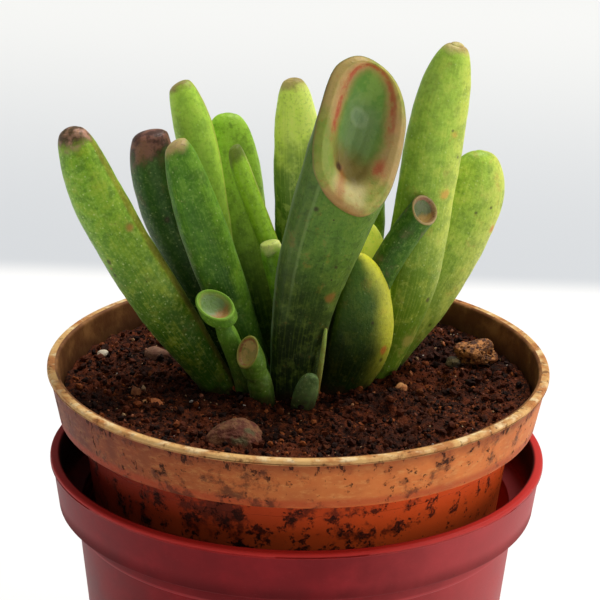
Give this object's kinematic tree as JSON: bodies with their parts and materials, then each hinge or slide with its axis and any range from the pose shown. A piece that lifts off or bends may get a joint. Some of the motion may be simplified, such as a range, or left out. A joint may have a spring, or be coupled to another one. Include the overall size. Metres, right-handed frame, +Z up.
{
  "type": "potted succulent",
  "caption": "Potted hobbit jade: upright tubular leaves, some with trumpet tips, in soil and grit in a round plastic pot that stands in a plain outer pot.",
  "frame": {"origin": "centre of the outer pot's foot, on the surface that it stands on", "axes": "+Z up; -Y towards the side that the picture shows; +X to the right of that side"},
  "size_m": [0.09, 0.09, 0.1396],
  "materials": {
    "red_plastic": "satin",
    "terracotta_plastic": "satin",
    "soil": "matte",
    "rootstock": "matte",
    "green_leaf": "satin",
    "yellow_leaf": "satin",
    "dry_leaf": "matte",
    "red_stone": "matte",
    "tan_stone": "matte",
    "dark_stone": "matte",
    "white_stone": "matte",
    "orange_stone": "matte"
  },
  "bodies": {
    "root": {"pot_red": "red_plastic", "pot_inner": "terracotta_plastic", "soil": "soil", "rootstock": "rootstock", "leaf_trumpet_large": "green_leaf", "leaf_left_long": "green_leaf", "leaf_right_tall": "green_leaf", "leaf_front_oval": "yellow_leaf", "leaf_left_front": "green_leaf", "offset_scarred": "green_leaf", "offset_trumpet": "green_leaf", "leaf_trumpet_right": "green_leaf", "leaf_yellow": "yellow_leaf", "leaf_left_dark": "green_leaf", "leaf_right_outer": "green_leaf", "leaf_left_tall": "green_leaf", "leaf_back_flat_tip": "green_leaf", "leaf_back_broad": "green_leaf", "leaf_behind_trumpet": "green_leaf", "leaf_slim": "green_leaf", "leaf_stub": "green_leaf", "bud_front": "green_leaf", "dry_sliver": "dry_leaf", "stone_front": "red_stone", "rock_porous": "tan_stone", "rock_dark": "dark_stone", "pebble_left": "red_stone", "grit_white": "white_stone", "grit_tan": "tan_stone", "chip_orange": "orange_stone", "pebble_orange": "orange_stone"}
  },
  "joints": []
}
